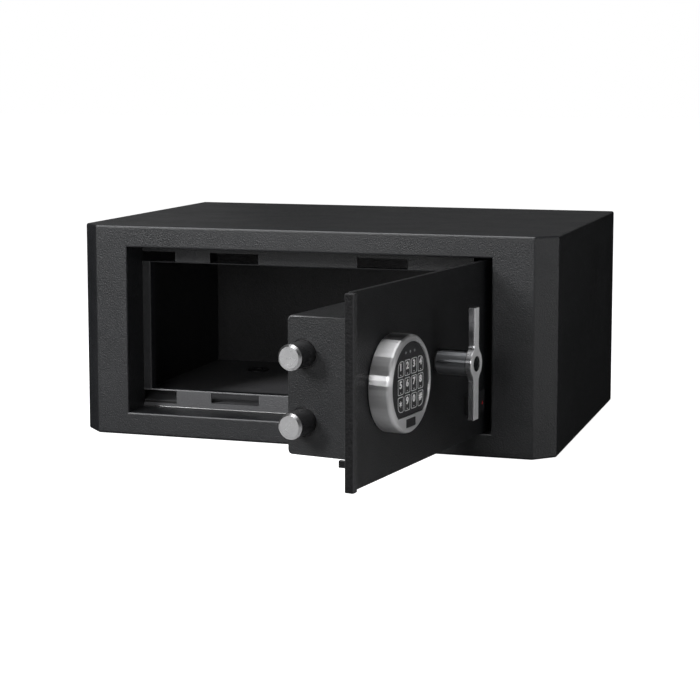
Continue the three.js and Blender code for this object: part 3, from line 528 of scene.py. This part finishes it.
def dress_steel():
    zinc = plain_steel("zinc_steel", (0.5, 0.51, 0.52), roughness=0.38)
    dress(zinc, "lower_hinge_pin", "upper_hinge_pin", "hinge_thrust_washer", "rear_spindle_bush",
          "lock_body", "bolt_bar", "bolt_rack", "handle_spindle", "drive_pinion")
    dress(plain_steel("dark_latch", (0.14, 0.14, 0.15), roughness=0.35), "lock_latch")
    bright = bolt_steel("bolt_steel", face=(0.61, 0.61, 0.62), painted_shade_side=(0.27, 0.27, 0.28), roughness=0.3)
    dress(bright, "lower_bolt", "upper_bolt")
    grip = satin_bar("satin_grip", (0.68, 0.68, 0.69), painted_shade_side=(0.36, 0.36, 0.37), roughness=0.42, smooth=0.2)
    dress(grip, "handle_grip")
    stem = turned_steel("dark_stem", (0.2, 0.205, 0.215), roughness=0.34, front=0.34,
                        centre=door_place(HANDLE_ALONG, 0, HANDLE_Z))
    dress(stem, "handle_stem")


# Pieces added to the solids

def make_piece(name, bm, *materials):
    """An object in the scene with a bmesh's form, which is freed."""
    mesh = bpy.data.meshes.new(name)
    bm.to_mesh(mesh)
    bm.free()
    for material in materials:
        mesh.materials.append(material)
    piece = bpy.data.objects.new(name, mesh)
    scene.collection.objects.link(piece)
    return piece


def print_piece(name, bm, at, body, material):
    """A thin form on the door's front, given in x across and y up about its own centre."""
    x, out, z = at
    for v in bm.verts:
        v.co = CLOSED_TO_OPEN @ Vector((x + v.co.x, PLATE_FACE - out - v.co.z, z + v.co.y))
    bmesh.ops.recalc_face_normals(bm, faces=bm.faces)
    piece = make_piece(name, bm, material)
    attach(piece, body)


def rounded_points(corners):
    """Points round a flat outline of (x, y, radius) corners."""
    steps = 5
    points = []
    count = len(corners)
    for i, (x, y, radius) in enumerate(corners):
        here = Vector((x, y))
        before = (Vector(corners[i - 1][:2]) - here).normalized()
        after = (Vector(corners[(i + 1) % count][:2]) - here).normalized()
        start, end = here + before * radius, here + after * radius
        for k in range(steps + 1):
            t = k / steps
            points.append(start * (1 - t) ** 2 + here * 2 * t * (1 - t) + end * t ** 2)
    return points


def join_rows(bm, a, b):
    """Faces between two closed rows of as many points."""
    for i in range(len(a)):
        following = (i + 1) % len(a)
        bm.faces.new((a[i], a[following], b[following], b[i]))


def slab(points, thick, rise=0, taper=(1, 1)):
    """A closed slab on an outline, raised in the print's plane and tapered towards its front."""
    bm = bmesh.new()
    low = [bm.verts.new((p.x, p.y + rise, 0)) for p in points]
    high = [bm.verts.new((p.x * taper[0], p.y * taper[1] + rise, thick)) for p in points]
    join_rows(bm, low, high)
    bm.faces.new(high)
    bm.faces.new(low[::-1])
    return bm


def key_corners(row, column, inset):
    """The corners of a key's outline, rounder where they are corners of the whole block of keys."""
    w, h = KEY_HALF_WIDTH - inset, KEY_HALF_HEIGHT - inset

    def radius(top, right):
        outer = (row == 0 if top else row == 2) and (column == 3 if right else column == 0)
        return max((KEYS_CORNER if outer else KEY_CORNER) - inset, LEAST_CORNER)

    return [(-w, -h, radius(0, 0)), (w, -h, radius(0, 1)), (w, h, radius(1, 1)), (-w, h, radius(1, 0))]


def key_outline(row, column):
    """A thin raised line round a key."""
    outer = rounded_points(key_corners(row, column, LINE_OUTSIDE))
    inner = rounded_points(key_corners(row, column, LINE_INSIDE))
    bm = bmesh.new()
    rows = []
    for points, z in ((outer, 0), (outer, PRINT_THICK), (inner, PRINT_THICK), (inner, 0)):
        rows.append([bm.verts.new((p.x, p.y, z)) for p in points])
    for a, b in zip(rows, rows[1:] + rows[:1]):
        join_rows(bm, a, b)
    return bm


def text_form(text, size, rise):
    """A printed character, a little bolder and wider than the font draws it."""
    curve = bpy.data.curves.new("glyph", "FONT")
    curve.body = text
    curve.size = size
    curve.extrude = PRINT_THICK / 2
    curve.offset = size * LETTER_BOLDER
    curve.align_x = "CENTER"
    curve.align_y = "CENTER"
    curve.resolution_u = 3
    holder = bpy.data.objects.new("glyph", curve)
    scene.collection.objects.link(holder)
    bpy.context.view_layer.update()
    mesh = bpy.data.meshes.new_from_object(holder)
    wider = Matrix.Diagonal((LETTER_WIDER, 1, 1, 1))
    mesh.transform(Matrix.Translation((0, rise, PRINT_THICK / 2)) @ wider)
    bm = bmesh.new()
    bm.from_mesh(mesh)
    bpy.data.meshes.remove(mesh)
    bpy.data.objects.remove(holder)
    bpy.data.curves.remove(curve)
    return bm


def star_form():
    """A six-armed star: each arm has two corners at its tip and one in the crook beside it."""
    crook = STAR_HALF_WIDTH / math.sin(math.radians(30))
    corners = []
    for arm in range(6):
        a = math.radians(90 + 60 * arm)
        along, across = Vector((math.cos(a), math.sin(a))), Vector((-math.sin(a), math.cos(a)))
        corners.append(along * STAR_REACH - across * STAR_HALF_WIDTH)
        corners.append(along * STAR_REACH + across * STAR_HALF_WIDTH)
        a += math.radians(30)
        corners.append(Vector((math.cos(a), math.sin(a))) * crook)
    return slab(corners, PRINT_THICK, STAR_RISE)


def make_keypad_print():
    """An outline and a symbol on each key, with a dash under each digit."""
    ink = printed("white_ink", (0.9, 0.9, 0.9))
    grey_ink = printed("grey_ink", (0.78, 0.79, 0.8))
    for row, symbols in enumerate(KEYS):
        for column, symbol in enumerate(symbols):
            key = key_name(symbol)
            body = key + "_button"
            x = KEYPAD_X + (column - 1.5) * KEY_PITCH_ACROSS
            z = KEYPAD_Z + (1 - row) * KEY_PITCH_UP
            at = (x, KEY_FRONT + PRINT_GAP, z)
            drawn = star_form() if symbol == "*" else text_form(symbol, SYMBOL_SIZE, SYMBOL_RISE)
            print_piece(f"print_outline_{key}", key_outline(row, column), at, body, grey_ink)
            print_piece(f"print_symbol_{key}", drawn, at, body, ink)
            if symbol not in "*#":
                print_piece(f"print_mark_{key}", text_form("-", MARK_SIZE, MARK_RISE), at, body, grey_ink)


def make_badge():
    """A blank dark inlay in the shallow recess under the keys."""
    w, h = BADGE_HALF_WIDTH, BADGE_HALF_HEIGHT
    corners = [(x, y, BADGE_CORNER) for x, y in ((-w, -h), (w, -h), (w, h), (-w, h))]
    inlay = slab(rounded_points(corners), BADGE_THICK, taper=BADGE_TAPER)
    dark = moulded("badge_inlay", (0.02, 0.02, 0.021), roughness=0.35, specular=0.45,
                   grain=2000, strength=0.2)
    print_piece("badge_inlay", inlay, (KEYPAD_X, BADGE_OUT, KEYPAD_Z - BADGE_DROP), "door", dark)


def make_ledge_bend():
    """A slim hollow fillet where the lower ledge meets the opening's floor, clear of the closed door."""
    sunk = 0.0001
    steps = 6
    start = LEDGE_FACE - LEDGE_BEND
    section = [(LEDGE_FACE, OPENING_FLOOR - sunk), (LEDGE_FACE + sunk, OPENING_FLOOR + LEDGE_BEND)]
    for i in range(steps + 1):
        a = math.radians(90 * i / steps)
        across, drop = LEDGE_BEND * math.cos(a), LEDGE_BEND * math.sin(a)
        section.append((start + across, OPENING_FLOOR + LEDGE_BEND - drop))
    section.append((start, OPENING_FLOOR - sunk))
    bm = bmesh.new()
    left, right = [[bm.verts.new((x, y, z)) for y, z in section] for x in LEDGE_ENDS]
    join_rows(bm, left, right)
    bm.faces.new(left)
    bm.faces.new(right[::-1])
    bmesh.ops.recalc_face_normals(bm, faces=bm.faces)
    # Glossier coat on the fillet, coloured lighter than the coat beside it as a painted highlight.
    coat = smooth_coat("bend_coat_painted_highlight", (0.02, 0.02, 0.021), (0.04, 0.04, 0.042))
    piece = make_piece("ledge_foot_bend", bm, coat)
    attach(piece, "safe")


def case_rim(bm):
    """The upper edge of the bolt case's end face."""
    same_place = 0.00001
    sharp = 0.5
    to_closed = CLOSED_TO_OPEN.inverted()
    place = {v: to_closed @ v.co for v in bm.verts}
    rim = []
    for edge in bm.edges:
        a, b = (place[v] for v in edge.verts)
        at_end = max(abs(a.x - CASE_END), abs(b.x - CASE_END)) < same_place
        upper = min(a.z, b.z) > CASE_UPPER_FOLD and (a.y + b.y) / 2 > CASE_BEHIND_PLATE
        if at_end and upper and len(edge.link_faces) == 2 and edge.calc_face_angle(0) > sharp:
            rim.append(edge)
    return rim


def make_case_shell():
    """The bolt case as modelled, with the upper edge of its end face bent over instead of sharp."""
    same_point = 0.000002
    source = nodes["bolt_case"]
    bm = bmesh.new()
    bm.from_mesh(source.data)
    bmesh.ops.remove_doubles(bm, verts=bm.verts, dist=same_point)
    bmesh.ops.bevel(bm, geom=case_rim(bm), offset=CASE_END_BEND, offset_type="OFFSET", segments=4,
                    profile=0.5, affect="EDGES", clamp_overlap=False, material=1)
    for face in bm.faces:
        face.smooth = False
    # The bent edge's coat is glossier, and coloured far lighter than the coat beside it as a painted
    # highlight.
    painted_bend_highlight = smooth_coat("fold_coat_painted_highlight", (0.05, 0.05, 0.052), (0.09, 0.09, 0.094))
    piece = make_piece("case_shell", bm, source.data.materials[0], painted_bend_highlight)
    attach(piece, "door")
    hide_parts("bolt_case")


# Surroundings

def floor_material(name, pale):
    """Pale matt floor that looks white to the camera."""
    n = Nodes(name)
    n.color(n.ramp(n.noise(3), [(0.3, (pale,) * 3), (0.7, (pale + 0.02,) * 3)]))
    n.set(Roughness=0.9, Specular_IOR_Level=0.1, Emission_Color=(1, 1, 1, 1))
    path = n.add("ShaderNodeLightPath")
    n.link(path.outputs["Is Camera Ray"], n.shader.inputs["Emission Strength"])
    return n.mat


def floor_piece(name, low, high, height, material):
    """A flat sheet between two corners."""
    (x0, y0), (x1, y1) = low, high
    mesh = bpy.data.meshes.new(name)
    corners = [(x0, y0, height), (x1, y0, height), (x1, y1, height), (x0, y1, height)]
    mesh.from_pydata(corners, [], [(0, 1, 2, 3)])
    mesh.materials.append(material)
    piece = bpy.data.objects.new(name, mesh)
    scene.collection.objects.link(piece)
    return piece


def make_floor():
    """A wide floor, with two greyer sheets on it that send less light up at the front and near the door."""
    pale = floor_material("pale_floor", 0.8)
    wide = floor_piece("floor", (-12, -12), (12, 12), WIDE_FLOOR_HEIGHT, pale)
    wide.visible_glossy = False
    front = floor_material("pale_floor_front", 0.4)
    floor_piece("floor_front", (-1.8, -2.4), (1.4, -0.45), NEAR_FLOOR_HEIGHT, front)
    near = floor_material("pale_floor_near", 0.6)
    floor_piece("floor_near", (-0.9, -0.45), (1.4, -0.165), NEAR_FLOOR_HEIGHT, near)


def background(tree, strength):
    node = tree.nodes.new("ShaderNodeBackground")
    node.inputs["Color"].default_value = (1, 1, 1, 1)
    node.inputs["Strength"].default_value = strength
    return node.outputs[0]


def make_world():
    """White to the camera, and nearly dark as a light."""
    world = bpy.data.worlds.new("studio")
    scene.world = world
    world.use_nodes = True
    tree = world.node_tree
    tree.nodes.clear()
    out = tree.nodes.new("ShaderNodeOutputWorld")
    mix = tree.nodes.new("ShaderNodeMixShader")
    path = tree.nodes.new("ShaderNodeLightPath")
    tree.links.new(path.outputs["Is Camera Ray"], mix.inputs[0])
    tree.links.new(background(tree, strength=0.016), mix.inputs[1])
    tree.links.new(background(tree, strength=1.0), mix.inputs[2])
    tree.links.new(mix.outputs[0], out.inputs[0])


def area_light(name, watts, width, height, at, target):
    data = bpy.data.lights.new(name, "AREA")
    data.energy = watts
    data.shape = "RECTANGLE"
    data.size = width
    data.size_y = height
    light = bpy.data.objects.new(name, data)
    light.location = at
    light.rotation_euler = (Vector(target) - Vector(at)).to_track_quat("-Z", "Y").to_euler()
    scene.collection.objects.link(light)


make_camera()
dress_coated()
dress_insulation()
dress_plastic()
dress_keypad()
dress_steel()
make_keypad_print()
make_badge()
make_ledge_bend()
make_case_shell()
make_floor()
make_world()
for light in LIGHTS:
    area_light(*light)
scene.view_settings.view_transform = "Standard"
scene.view_settings.look = "None"
